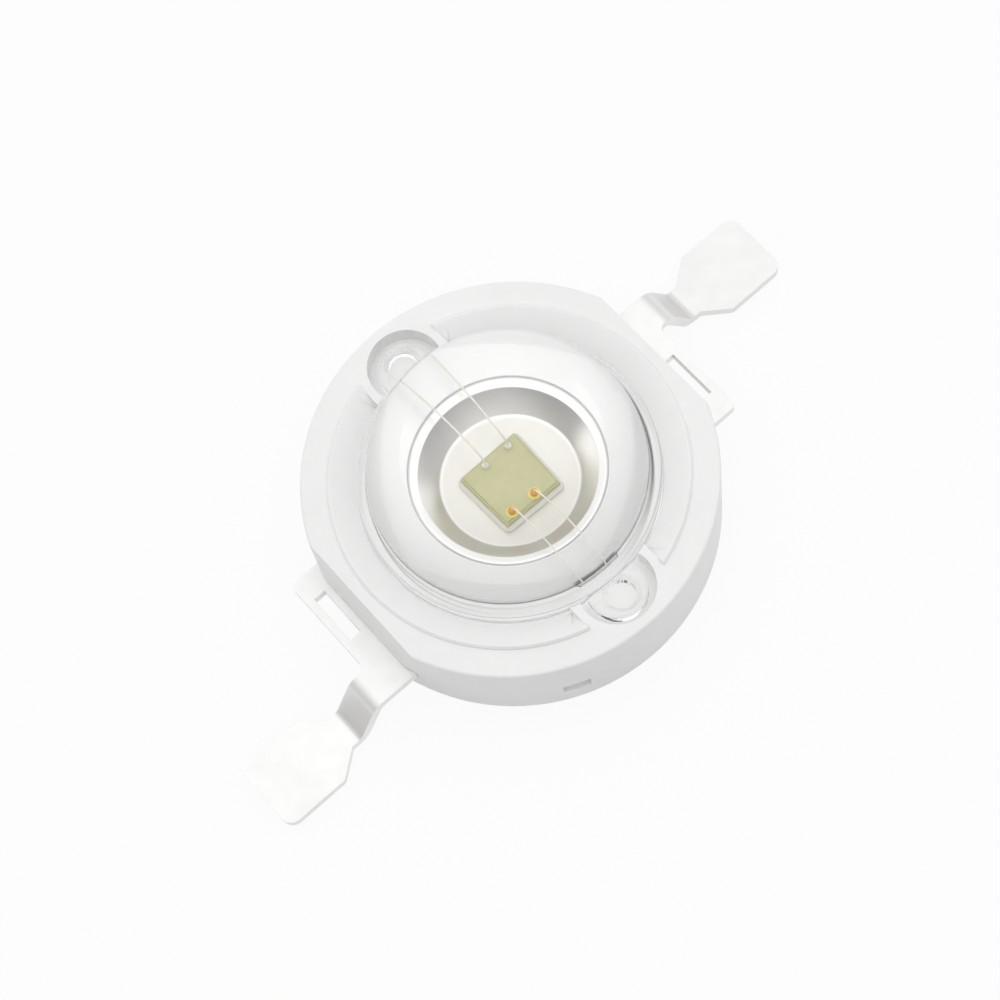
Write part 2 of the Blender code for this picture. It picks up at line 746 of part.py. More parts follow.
white_moulding = finish("white_moulding", (0.86, 0.86, 0.86), 0.45)
silver_plate = finish("silver_plate", (0.80, 0.79, 0.76), 0.22, metallic=1.0)
silver_lead = finish("silver_lead", (0.82, 0.82, 0.81), 0.28, metallic=1.0)
clear_lens = finish("clear_lens", (1.0, 1.0, 1.0), 0.03, alpha=0.3, transmission=1.0, ior=1.5)
clear_silicone = finish("clear_silicone", (1.0, 1.0, 0.99), 0.05, alpha=0.2, transmission=1.0, ior=1.41)
chip_finish = finish("chip_finish", (0.60, 0.59, 0.32), 0.35)
bond_finish = finish("bond_finish", (0.75, 0.73, 0.68), 0.5, metallic=0.6)
gold_wire = finish("gold_wire", (0.85, 0.62, 0.25), 0.25, metallic=1.0)

neck_drop = lead_middle - pad_middle
neck_slope = (neck_drop - 2 * BEND_RADIUS * (1.0 - math.cos(NECK_ANGLE))) / math.sin(NECK_ANGLE)
neck_start = root_outer + ROOT_CORNER
neck_end = neck_start + 2 * BEND_RADIUS * math.sin(NECK_ANGLE) + neck_slope * math.cos(NECK_ANGLE)

wire_paths = []
for side in (1, -1):
    for offset in WIRE_OFFSETS:
        wire_paths.append((wire_path(offset, side), side, len(wire_paths) + 1))

make_housing()
make_heat_slug()
make_lead("anode_lead", False)
make_lead("cathode_lead", True)
make_die_bond()
make_chip()
for path, side, number in wire_paths:
    shade_round(make_wire("bond_wire_%d" % number, path, 0.0, parts, gold_wire))
make_filling(wire_paths)
make_lens()
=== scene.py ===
import math

import bmesh
import bpy
from mathutils import Matrix, Vector


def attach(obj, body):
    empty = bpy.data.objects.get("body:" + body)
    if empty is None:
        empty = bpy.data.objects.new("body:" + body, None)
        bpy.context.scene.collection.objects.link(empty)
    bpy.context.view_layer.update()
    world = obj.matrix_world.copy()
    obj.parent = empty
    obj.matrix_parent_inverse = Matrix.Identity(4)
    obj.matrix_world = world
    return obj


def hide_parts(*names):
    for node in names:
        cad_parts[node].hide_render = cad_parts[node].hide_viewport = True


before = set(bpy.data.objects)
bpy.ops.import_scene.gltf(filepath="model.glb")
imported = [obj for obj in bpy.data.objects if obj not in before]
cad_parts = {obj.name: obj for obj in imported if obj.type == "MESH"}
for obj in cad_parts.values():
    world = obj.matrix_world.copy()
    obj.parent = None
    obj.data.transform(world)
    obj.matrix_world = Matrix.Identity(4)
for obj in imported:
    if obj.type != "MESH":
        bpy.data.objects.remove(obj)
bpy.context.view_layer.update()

# Looks for a bare power LED emitter. Pieces are shaped in millimetres and then put
# in place in metres, +Z up, with the leads along X and the slug's underside at zero.
MM = 0.001

# Sizes of the pieces, in millimetres
CHIP_SIDE = 0.85
CHIP_HEIGHT = 0.11
CHIP_BOTTOM = 2.16
CHIP_LAYER = 0.028
BOND_GAP = 0.004
CUP_FLOOR = 2.11
CUP_FLOOR_RADIUS = 0.835
CUP_MOUTH_RADIUS = 1.115
CUP_LIP_RADIUS = 1.235
CUP_LIP_TOP = 2.32
SLUG_TOP = 2.27
SLUG_HEAD_RADIUS = 1.996
SLUG_FOOT_RADIUS = 2.846
SLUG_FOOT_TOP = 0.83
BODY_TOP = 2.45
BODY_BOTTOM = 0.35
BODY_RADIUS = 3.996
FLAT_DISTANCE = 3.696
FLAT_DRAFT = math.radians(6.0)
COLLAR_INNER = 2.016
COLLAR_OUTER = 2.566
COLLAR_TOP = 2.13
WELL_RADIUS = 2.926
WELL_FLOOR = 2.02
SLOPE_FOOT = 2.20
CREST_INNER = 3.386
CREST_OUTER = 3.466
CREST_TOP = 2.53
FOOT_RECESS_RADIUS = 2.866
FOOT_RECESS_TOP = 0.85
EAR_PLACE = 3.04
EAR_RADIUS = 0.58
EAR_TOP = 2.30
EAR_POCKET_RADIUS = 0.75
EAR_HOLE_PLACE = 3.16
EAR_HOLE_RADIUS = 0.28
EAR_HOLE_SINK = 0.09
EAR_LAND_HALF = 0.92
DOME_RADIUS = 2.676
FLANGE_RADIUS = 2.896
FLANGE_TOP = 2.57
LENS_BOTTOM = 2.04
LEAD_THICKNESS = 0.22
LEAD_MIDDLE = 1.14
PAD_MIDDLE = 0.23
NECK_WIDTH = 0.74
NECK_CENTRE = 1.06
PAD_WIDTH = 1.54
ROOT_OUTER = 4.396
ROOT_TAIL = 1.56
ARM_OUTER = 3.496
ARM_INNER = 2.796
POST_WIDTH = 0.80
POST_MIDDLE = 2.06
POST_TIP = 2.051
POST_SLOT_END = 1.916
RISER_MIDDLE = 2.346
TIP_HALF = 7.40
LEAD_BEND = 0.30
LEAD_BEND_ANGLE = math.radians(60.0)
LEAD_STRAIGHT = 0.12
NECK_START = ROOT_OUTER + LEAD_STRAIGHT
NECK_RUN = ((LEAD_MIDDLE - PAD_MIDDLE - 2 * LEAD_BEND * (1 - math.cos(LEAD_BEND_ANGLE)))
            / math.tan(LEAD_BEND_ANGLE))
NECK_END = NECK_START + 2 * LEAD_BEND * math.sin(LEAD_BEND_ANGLE) + NECK_RUN
PAD_START = NECK_END + LEAD_STRAIGHT
PAD_CHAMFER = 0.52
WINDOW_OUTER = 0.17
WINDOW_INNER = 0.43
WINDOW_ENDS = (-1.03, 0.07)
SLOT_ROOM = 0.02
GATE_ANGLE = math.radians(-114.0)
GATE_HALF = 0.27
GATE_HEIGHTS = (0.95, 1.29)
GATE_DEPTH = 0.24
FOOT_GROOVE_DEPTH = 0.03
FOOT_GROOVE_WIDTH = 0.02

# The chip's wires: their places across the chip and in from its edge, then the (radius, height)
# profiles of the bond pad and of the ball that sits on it, from the chip's top
WIRE_OFFSETS = (0.26, -0.10)
WIRE_INSET = 0.09
BOND_PAD = ((0.0, 0.0), (0.074, 0.0), (0.080, -0.003), (0.080, -0.006), (0.0, -0.006))
BOND_BALL = ((0.0, 0.066), (0.022, 0.064), (0.040, 0.055), (0.050, 0.040), (0.052, 0.020), (0.045, -0.002),
             (0.0, -0.002))

# Finish of the plated slug's cup and shoulder
CUP_FLOOR_TONE = (0.73, 0.72, 0.67, 1.0)
CUP_WALL_ROUGHNESS = 0.28
SHOULDER_TONE = (0.80, 0.80, 0.795, 1.0)
FINISH_EDGE = 0.02

# Painted shade at the dome's foot, a grey line in the lens's colour: the way it is broadest, its radius, and its
# thin and broad ends
PAINTED_FOOT_SHADE_WAY = (0.97, -0.24, 0.0)
PAINTED_FOOT_SHADE_RADIUS = DOME_RADIUS + 0.035
PAINTED_FOOT_SHADE_HALF = (0.025, 0.055)
PAINTED_FOOT_SHADE_STRENGTH = (0.55, 0.95)
PAINTED_FOOT_SHADE_TONE = (0.03, 0.03, 0.03, 1.0)

# The studio: a broad light a little to the near side of overhead, low light that rises from the
# near side to the far side, and windows of (azimuth, half width, top, brightness), in degrees
OVERHEAD_WAY = (-0.077, -0.155, 0.985)
OVERHEAD_LIGHT = 1.34
LOW_LIGHT_WAY = (0.64, 0.77, 0.0)
LOW_LIGHT = (0.18, 0.84)
WINDOWS = ((135.0, 24.0, 26.0, 1.1), (-6.0, 17.0, 24.0, 1.0))
WINDOW_EDGES = (8.0, 6.0)
FLOOR_HALF = 0.6
FLOOR_TONE = (0.74, 0.74, 0.74, 1.0)
FLOOR_WHITE_SHARE = 0.92

# The camera, fitted to the photograph's circles and leads
CAMERA_AZIMUTH = math.radians(-116.551)
CAMERA_ELEVATION = math.radians(69.330)
CAMERA_ROLL = math.radians(-15.528)
CAMERA_DISTANCE = 45.0
CAMERA_FOCAL_PIXELS = 2393.05
CAMERA_AIM = Vector((-0.4734, -0.2919, BODY_TOP))
IMAGE_PIXELS = 1000.0

scene = bpy.context.scene
scene.view_settings.view_transform = "Standard"


def loose(name, mesh):
    """Put a mesh in the scene as a working piece, in millimetres."""
    piece = bpy.data.objects.new(name, mesh)
    scene.collection.objects.link(piece)
    return piece


def arc(centre, radius, start, end, steps):
    """Points of an arc, angles in degrees."""
    points = []
    for i in range(steps + 1):
        angle = math.radians(start + (end - start) * i / steps)
        points.append((centre[0] + radius * math.cos(angle), centre[1] + radius * math.sin(angle)))
    return points


def rounded(corners, steps=6, closed=True):
    """Round a path's corners; each corner is (x, y, radius)."""
    path = []
    for i, (x, y, radius) in enumerate(corners):
        if radius <= 0.0 or (not closed and i in (0, len(corners) - 1)):
            path.append((x, y))
            continue
        here = Vector((x, y))
        before = (Vector(corners[i - 1][:2]) - here).normalized()
        after = (Vector(corners[(i + 1) % len(corners)][:2]) - here).normalized()
        half = before.angle(after) / 2
        reach = radius / math.tan(half)
        centre = here + (before + after).normalized() * (radius / math.sin(half))
        first = here + before * reach - centre
        turn = first.angle_signed(here + after * reach - centre)
        for k in range(steps + 1):
            path.append(tuple(centre + Matrix.Rotation(-turn * k / steps, 2) @ first))
    return path


def turned(name, profile, steps, closed=False, at=(0.0, 0.0)):
    """Turn a profile of (radius, height) points about an upright line."""
    verts, rows, faces = [], [], []
    for radius, height in profile:
        count = 1 if radius < 1e-6 else steps
        rows.append([len(verts) + k for k in range(count)])
        for k in range(count):
            angle = math.tau * k / steps
            verts.append((at[0] + radius * math.cos(angle), at[1] + radius * math.sin(angle), height))
    pairs = list(zip(rows, rows[1:])) + ([(rows[-1], rows[0])] if closed else [])
    for upper, lower in pairs:
        for k in range(steps):
            a, b = upper[k % len(upper)], upper[(k + 1) % len(upper)]
            c, d = lower[(k + 1) % len(lower)], lower[k % len(lower)]
            corners = list(dict.fromkeys((a, d, c, b)))
            if len(corners) > 2:
                faces.append(corners)
    mesh = bpy.data.meshes.new(name)
    mesh.from_pydata(verts, [], faces)
    mesh.shade_smooth()
    return facing_out(loose(name, mesh))


def facing_out(piece):
    """Turn every face outwards."""
    work = bmesh.new()
    work.from_mesh(piece.data)
    bmesh.ops.recalc_face_normals(work, faces=work.faces)
    work.to_mesh(piece.data)
    work.free()
    return piece


def prism(name, outline, low, high, lay="XY"):
    """Raise an outline between two heights; lay says which plane it lies in."""
    count = len(outline)
    put = {"XY": lambda u, v, w: (u, v, w), "XZ": lambda u, v, w: (u, w, v), "YZ": lambda u, v, w: (w, u, v)}[lay]
    verts = [put(u, v, low) for u, v in outline] + [put(u, v, high) for u, v in outline]
    faces = [tuple(range(count))[::-1], tuple(range(count, 2 * count))]
    for i in range(count):
        j = (i + 1) % count
        faces.append((i, j, count + j, count + i))
    mesh = bpy.data.meshes.new(name)
    mesh.from_pydata(verts, [], faces)
    mesh.shade_smooth()
    return facing_out(loose(name, mesh))


def block(name, low, high):
    """A box between two corners."""
    return prism(name, [(low[0], low[1]), (high[0], low[1]), (high[0], high[1]), (low[0], high[1])],
                 low[2], high[2])


def cut(piece, tool, operation="DIFFERENCE"):
    """Cut, join or trim a piece with a tool, which then leaves the scene."""
    modifier = piece.modifiers.new("cut", "BOOLEAN")
    modifier.operation = operation
    modifier.object = tool
    modifier.solver = "EXACT"
    piece.data = worked_out(piece)
    piece.modifiers.clear()
    bpy.data.objects.remove(tool, do_unlink=True)
    return piece


def worked_out(piece):
    """The mesh that a piece's modifiers make."""
    bpy.context.view_layer.update()
    graph = bpy.context.evaluated_depsgraph_get()
    return bpy.data.meshes.new_from_object(piece.evaluated_get(graph), depsgraph=graph)


def half_turned(piece):
    """Turn a working piece half round about the lens axis."""
    piece.data.transform(Matrix.Rotation(math.pi, 4, "Z"))
    return piece


def soften(piece, width, angle=40.0, segments=2):
    """Round a piece's real edges a little."""
    work = bmesh.new()
    work.from_mesh(piece.data)
    bmesh.ops.remove_doubles(work, verts=work.verts, dist=0.0005)
    bmesh.ops.dissolve_limit(work, angle_limit=math.radians(0.3), verts=work.verts, edges=work.edges)
    work.to_mesh(piece.data)
    work.free()
    bevel = piece.modifiers.new("soften", "BEVEL")
    bevel.width = width
    bevel.segments = segments
    bevel.limit_method = "ANGLE"
    bevel.angle_limit = math.radians(angle)
    bevel.use_clamp_overlap = True
    bevel.harden_normals = True
    piece.data = worked_out(piece)
    piece.modifiers.clear()
    return piece


def finish(piece, name, material, nodes, crease=38.0, even=True):
    """Shade a piece, put it in place in metres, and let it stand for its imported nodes."""
    if even:
        piece.data.shade_smooth()
        piece.data.set_sharp_from_angle(angle=math.radians(crease))
        piece.modifiers.new("even_normals", "WEIGHTED_NORMAL").keep_sharp = True
    final = worked_out(piece)
    final.transform(Matrix.Diagonal((MM, MM, MM, 1.0)))
    final.name = name
    final.materials.clear()
    final.materials.append(material)
    bpy.data.objects.remove(piece, do_unlink=True)
    placed = bpy.data.objects.new(name, final)
    scene.collection.objects.link(placed)
    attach(placed, "root")
    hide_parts(*nodes)
    return placed


# Shared surface effects


def new_group(name, ins, outs):
    """Start a shader node group with named sockets."""
    group = bpy.data.node_groups.new(name, "ShaderNodeTree")
    for label, kind, value in ins:
        socket = group.interface.new_socket(label, in_out="INPUT", socket_type=kind)
        if value is not None:
            socket.default_value = value
    for label, kind in outs:
        group.interface.new_socket(label, in_out="OUTPUT", socket_type=kind)
    return group, group.nodes.new("NodeGroupInput"), group.nodes.new("NodeGroupOutput")


def node(tree, kind, inputs=(), **settings):
    """Add a node, set its settings and fill its inputs with values or links."""
    made = tree.nodes.new(kind)
    for key, value in settings.items():
        setattr(made, key, value)
    for key, value in dict(inputs).items():
        if isinstance(value, bpy.types.NodeSocket):
            tree.links.new(value, made.inputs[key])
        else:
            made.inputs[key].default_value = value
    return made


def tone_drift_group():
    """Slow drift between two colours, with a finer fleck on top."""
    group, start, end = new_group(
        "tone_drift",
        [("Light", "NodeSocketColor", None), ("Dark", "NodeSocketColor", None),
         ("Scale", "NodeSocketFloat", 400.0), ("Fleck", "NodeSocketFloat", 0.3)],
        [("Color", "NodeSocketColor"), ("Mask", "NodeSocketFloat")])
    place = node(group, "ShaderNodeTexCoord")
    slow = node(group, "ShaderNodeTexNoise", {"Vector": place.outputs["Object"], "Scale": start.outputs["Scale"],
                                              "Detail": 3.0, "Roughness": 0.55})
    fine_scale = node(group, "ShaderNodeMath", {0: start.outputs["Scale"], 1: 9.0}, operation="MULTIPLY")
    fine = node(group, "ShaderNodeTexNoise", {"Vector": place.outputs["Object"], "Scale": fine_scale.outputs[0],
                                              "Detail": 2.0, "Roughness": 0.6})
    both = node(group, "ShaderNodeMix", {"Factor": start.outputs["Fleck"], 2: slow.outputs["Fac"],
                                         3: fine.outputs["Fac"]}, data_type="FLOAT")
    spread = node(group, "ShaderNodeMapRange", {"Value": both.outputs[0], "From Min": 0.32, "From Max": 0.68})
    colour = node(group, "ShaderNodeMix", {"Factor": spread.outputs[0], 6: start.outputs["Dark"],
                                           7: start.outputs["Light"]}, data_type="RGBA")
    group.links.new(colour.outputs[2], end.inputs["Color"])
    group.links.new(spread.outputs[0], end.inputs["Mask"])
    return group


def skin_group():
    """Height of a fine skin: small soft pits and a slower swell."""
    group, start, end = new_group(
        "fine_skin",
        [("Scale", "NodeSocketFloat", 6000.0), ("Stretch", "NodeSocketFloat", 1.0),
         ("Swell", "NodeSocketFloat", 0.3)],
        [("Height", "NodeSocketFloat")])
    place = node(group, "ShaderNodeTexCoord")
    stretch = node(group, "ShaderNodeCombineXYZ", {"X": 1.0, "Y": start.outputs["Stretch"], "Z": 1.0})
    pulled = node(group, "ShaderNodeVectorMath", {0: place.outputs["Object"], 1: stretch.outputs[0]},
                  operation="MULTIPLY")
    pits = node(group, "ShaderNodeTexNoise", {"Vector": pulled.outputs[0], "Scale": start.outputs["Scale"],
                                              "Detail": 3.0, "Roughness": 0.6})
    slow_scale = node(group, "ShaderNodeMath", {0: start.outputs["Scale"], 1: 0.12}, operation="MULTIPLY")
    slow = node(group, "ShaderNodeTexNoise", {"Vector": pulled.outputs[0], "Scale": slow_scale.outputs[0],
                                              "Detail": 1.0})
    both = node(group, "ShaderNodeMix", {"Factor": start.outputs["Swell"], 2: pits.outputs["Fac"],
                                         3: slow.outputs["Fac"]}, data_type="FLOAT")
    group.links.new(both.outputs[0], end.inputs["Height"])
    return group


tone_drift = tone_drift_group()
fine_skin = skin_group()


def skinned(name, light, dark, drift, fleck, rough, skin, metallic=0.0, bump=0.1, depth=0.00001):
    """A finish with drifting tone, uneven roughness and a fine skin.

    Tone drifts from light to dark at the drift scale, with a share of finer fleck; rough is its
    lowest and highest roughness; skin is the scale, stretch and swell of the fine skin.
    """
    material = bpy.data.materials.new(name)
    material.use_nodes = True
    tree = material.node_tree
    shader = tree.nodes["Principled BSDF"]
    tone = node(tree, "ShaderNodeGroup", node_tree=tone_drift)
    tone.inputs["Light"].default_value = (*light, 1.0)
    tone.inputs["Dark"].default_value = (*dark, 1.0)
    tone.inputs["Scale"].default_value = drift
    tone.inputs["Fleck"].default_value = fleck
    tree.links.new(tone.outputs["Color"], shader.inputs["Base Color"])
    rough_range = node(tree, "ShaderNodeMapRange", {"Value": tone.outputs["Mask"], "To Min": rough[1],
                                                    "To Max": rough[0]})
    tree.links.new(rough_range.outputs[0], shader.inputs["Roughness"])
    grain = node(tree, "ShaderNodeGroup", node_tree=fine_skin)
    grain.inputs["Scale"].default_value = skin[0]
    grain.inputs["Stretch"].default_value = skin[1]
    grain.inputs["Swell"].default_value = skin[2]
    relief = node(tree, "ShaderNodeBump", {"Height": grain.outputs["Height"], "Strength": bump, "Distance": depth})
    tree.links.new(relief.outputs[0], shader.inputs["Normal"])
    shader.inputs["Metallic"].default_value = metallic
    return material


def from_axis(tree):
    """Flat direction from the upright axis, and distance from it."""
    place = node(tree, "ShaderNodeTexCoord")
    flat = node(tree, "ShaderNodeVectorMath", {0: place.outputs["Object"], 1: (1.0, 1.0, 0.0)},
                operation="MULTIPLY")
    way = node(tree, "ShaderNodeVectorMath", {0: flat.outputs[0]}, operation="NORMALIZE")
    reach = node(tree, "ShaderNodeVectorMath", {0: flat.outputs[0]}, operation="LENGTH")
    return way.outputs[0], reach.outputs["Value"]


def painted_foot_shade(tree):
    """Painted shade: a grey line where the dome meets its flange, broad and dark on the one side and thin on the
    other.
    """
    way, reach = from_axis(tree)
    side = node(tree, "ShaderNodeVectorMath", {0: way, 1: PAINTED_FOOT_SHADE_WAY}, operation="DOT_PRODUCT").outputs["Value"]
    squared = node(tree, "ShaderNodeMath", {0: side, 1: side}, operation="MULTIPLY")
    more = node(tree, "ShaderNodeMapRange", {"Value": side, "From Min": -0.3, "From Max": 0.5}).outputs[0]
    half = node(tree, "ShaderNodeMapRange", {"Value": more, "To Min": PAINTED_FOOT_SHADE_HALF[0] * MM,
                                             "To Max": PAINTED_FOOT_SHADE_HALF[1] * MM})
    strength = node(tree, "ShaderNodeMapRange", {"Value": more, "To Min": PAINTED_FOOT_SHADE_STRENGTH[0],
                                                 "To Max": PAINTED_FOOT_SHADE_STRENGTH[1]})
    gap = node(tree, "ShaderNodeMath", {0: reach, 1: PAINTED_FOOT_SHADE_RADIUS * MM}, operation="SUBTRACT")
    off = node(tree, "ShaderNodeMath", {0: gap.outputs[0]}, operation="ABSOLUTE")
    share = node(tree, "ShaderNodeMath", {0: off.outputs[0], 1: half.outputs[0]}, operation="DIVIDE")
    # Mask of the painted shade band round the dome's foot, stronger and broader towards one side
    line = node(tree, "ShaderNodeMapRange", {"Value": share.outputs[0], "From Min": 1.0, "From Max": 0.2},
                interpolation_type="SMOOTHSTEP")
    strong = node(tree, "ShaderNodeMath", {0: line.outputs[0], 1: strength.outputs[0]}, operation="MULTIPLY")
    placed = node(tree, "ShaderNodeMath", {0: strong.outputs[0], 1: squared.outputs[0]}, operation="MULTIPLY")
    colour = node(tree, "ShaderNodeMix", {"Factor": placed.outputs[0], 6: (1.0, 1.0, 1.0, 1.0), 7: PAINTED_FOOT_SHADE_TONE},
                  data_type="RGBA")
    return colour.outputs[2]


def clear_moulding():
    """Clear lens; lamps' and scattered light reaches what is behind it unbent."""
    material = bpy.data.materials.new("clear_moulding")
    material.use_nodes = True
    tree = material.node_tree
    shader = tree.nodes["Principled BSDF"]
    # The lens's colour carries a painted shade line at the dome's foot
    tree.links.new(painted_foot_shade(tree), shader.inputs["Base Color"])
    shader.inputs["Roughness"].default_value = 0.015
    shader.inputs["Transmission Weight"].default_value = 1.0
    shader.inputs["IOR"].default_value = 1.5
    through = node(tree, "ShaderNodeBsdfTransparent", {"Color": (0.98, 0.98, 0.98, 1.0)})
    path = node(tree, "ShaderNodeLightPath")
    either = node(tree, "ShaderNodeMath", {0: path.outputs["Is Shadow Ray"], 1: path.outputs["Is Diffuse Ray"]},
                  operation="MAXIMUM")
    mixed = node(tree, "ShaderNodeMixShader", {0: either.outputs[0], 1: shader.outputs[0], 2: through.outputs[0]})
    tree.links.new(mixed.outputs[0], tree.nodes["Material Output"].inputs["Surface"])
    return material


def coin_cup(material):
    """Polish the reflector cup's wall and tone down its floor and the shoulder round its lip."""
    tree = material.node_tree
    shader = tree.nodes["Principled BSDF"]
    satin = shader.inputs["Roughness"].links[0].from_socket
    colour = shader.inputs["Base Color"].links[0].from_socket
    reach = from_axis(tree)[1]

    def past(radius):
        """Mask that is 1 outside a radius."""
        return node(tree, "ShaderNodeMapRange", {"Value": reach, "From Min": (radius - FINISH_EDGE) * MM,
                                                 "From Max": (radius + FINISH_EDGE) * MM}).outputs[0]

    wall, shoulder = past(CUP_FLOOR_RADIUS - FINISH_EDGE), past(CUP_LIP_RADIUS)
    inner = node(tree, "ShaderNodeMix", {"Factor": wall, 6: CUP_FLOOR_TONE, 7: colour}, data_type="RGBA")
    tone = node(tree, "ShaderNodeMix", {"Factor": shoulder, 6: inner.outputs[2], 7: SHOULDER_TONE},
                data_type="RGBA")
    inner_rough = node(tree, "ShaderNodeMix", {"Factor": wall, 2: satin, 3: CUP_WALL_ROUGHNESS},
                       data_type="FLOAT")
    rough = node(tree, "ShaderNodeMix", {"Factor": shoulder, 2: inner_rough.outputs[0], 3: satin},
                 data_type="FLOAT")
    tree.links.new(tone.outputs[2], shader.inputs["Base Color"])
    tree.links.new(rough.outputs[0], shader.inputs["Roughness"])


white_moulding = skinned("white_moulding", (0.86, 0.86, 0.855), (0.82, 0.82, 0.815), 300.0, 0.35, (0.34, 0.46),
                         (9000.0, 1.0, 0.3), bump=0.12, depth=0.000006)
silver_plate = skinned("silver_plate", (0.90, 0.89, 0.875), (0.86, 0.855, 0.84), 500.0, 0.2, (0.36, 0.44),
                       (9000.0, 1.0, 0.25), metallic=1.0, bump=0.06, depth=0.000003)
silver_sheet = skinned("silver_sheet", (0.84, 0.835, 0.83), (0.79, 0.785, 0.78), 400.0, 0.3, (0.38, 0.48),
                       (7000.0, 5.0, 0.35), metallic=1.0, bump=0.10, depth=0.000004)
chip_surface = skinned("chip_surface", (0.60, 0.58, 0.35), (0.49, 0.49, 0.24), 1600.0, 0.3, (0.34, 0.48),
                       (30000.0, 1.0, 0.2), bump=0.1, depth=0.000002)
bond_surface = skinned("bond_surface", (0.86, 0.85, 0.79), (0.80, 0.79, 0.72), 4000.0, 0.5, (0.35, 0.50),
                       (30000.0, 1.0, 0.2), bump=0.2, depth=0.000002)
gold_surface = skinned("gold_surface", (0.92, 0.90, 0.85), (0.84, 0.81, 0.74), 6000.0, 0.4, (0.30, 0.42),
                       (40000.0, 1.0, 0.2), metallic=0.35, bump=0.1, depth=0.000001)
pad_surface = skinned("pad_surface", (0.90, 0.82, 0.22), (0.80, 0.68, 0.12), 9000.0, 0.4, (0.30, 0.45),
                      (50000.0, 1.0, 0.2), bump=0.15, depth=0.000001)
ball_surface = skinned("ball_surface", (0.86, 0.46, 0.10), (0.66, 0.26, 0.04), 12000.0, 0.4, (0.30, 0.45),
                       (50000.0, 1.0, 0.2), metallic=0.4, bump=0.15, depth=0.000001)
clear_lens = clear_moulding()
coin_cup(silver_plate)


# Pieces


def make_housing():
    """White moulded body."""
    steps = 160
    profile = [(COLLAR_INNER, COLLAR_TOP), (COLLAR_OUTER, COLLAR_TOP), (COLLAR_OUTER, WELL_FLOOR),
               (WELL_RADIUS, WELL_FLOOR), (WELL_RADIUS, SLOPE_FOOT), (CREST_INNER, CREST_TOP),
               (CREST_OUTER - 0.04, CREST_TOP), (CREST_OUTER, CREST_TOP - 0.04), (CREST_OUTER, BODY_TOP)]
    profile += arc((BODY_RADIUS - 0.06, BODY_TOP - 0.06), 0.06, 90.0, 0.0, 5)
    profile += arc((BODY_RADIUS - 0.10, BODY_BOTTOM + 0.10), 0.10, 0.0, -90.0, 5)
    profile += [(FOOT_RECESS_RADIUS, BODY_BOTTOM), (FOOT_RECESS_RADIUS, FOOT_RECESS_TOP),
                (COLLAR_INNER, FOOT_RECESS_TOP)]
    body = turned("housing_shell", profile, steps, closed=True)
    for side in (1, -1):
        near, far = sorted((side * (WELL_RADIUS - 0.4), side * BODY_RADIUS))
        cut(body, block("crest_gap", (-EAR_LAND_HALF, near, BODY_TOP), (EAR_LAND_HALF, far, CREST_TOP + 0.2)))
        land = turned("ear_land", [(WELL_RADIUS, BODY_TOP), (CREST_INNER + 0.04, BODY_TOP),
                                   (CREST_INNER + 0.04, SLOPE_FOOT - 0.1), (WELL_RADIUS, SLOPE_FOOT - 0.1)], steps,
                      closed=True)
        cut(land, block("ear_land_span", (-EAR_LAND_HALF, near, WELL_FLOOR), (EAR_LAND_HALF, far, CREST_TOP)),
            "INTERSECT")
        cut(body, land, "UNION")
    for side in (1, -1):
        cut(body, turned("pocket", [(0.0, CREST_TOP + 0.1), (EAR_POCKET_RADIUS, CREST_TOP + 0.1),
                                    (EAR_POCKET_RADIUS, WELL_FLOOR), (0.0, WELL_FLOOR)], 72,
                         at=(0.0, side * EAR_PLACE)))
        flat = block("flat", (0.0, -BODY_RADIUS, -BODY_RADIUS), (BODY_RADIUS, BODY_RADIUS, BODY_RADIUS))
        flat.data.transform(Matrix.Translation((side * FLAT_DISTANCE, 0.0, BODY_TOP))
                            @ Matrix.Rotation(0.0 if side > 0 else math.pi, 4, "Z")
                            @ Matrix.Rotation(-FLAT_DRAFT, 4, "Y"))
        cut(body, flat)
        slot_half, riser_half = LEAD_THICKNESS / 2 + SLOT_ROOM, POST_WIDTH / 2 + SLOT_ROOM
        slot = prism("lead_slot", lead_outline(SLOT_ROOM), LEAD_MIDDLE - slot_half, LEAD_MIDDLE + slot_half)
        riser = prism("riser_slot", post_section(SLOT_ROOM, POST_SLOT_END), -riser_half, riser_half, "YZ")
        for tool in (slot, riser):
            cut(body, tool if side > 0 else half_turned(tool))
    gate = block("gate", (BODY_RADIUS - GATE_DEPTH, -GATE_HALF, GATE_HEIGHTS[0]),
                 (BODY_RADIUS + 0.07, GATE_HALF, GATE_HEIGHTS[1]))
    gate.data.transform(Matrix.Rotation(GATE_ANGLE, 4, "Z"))
    cut(body, gate)
    soften(body, 0.018)
    return finish(body, "housing_shell", white_moulding, ["housing"], even=False)


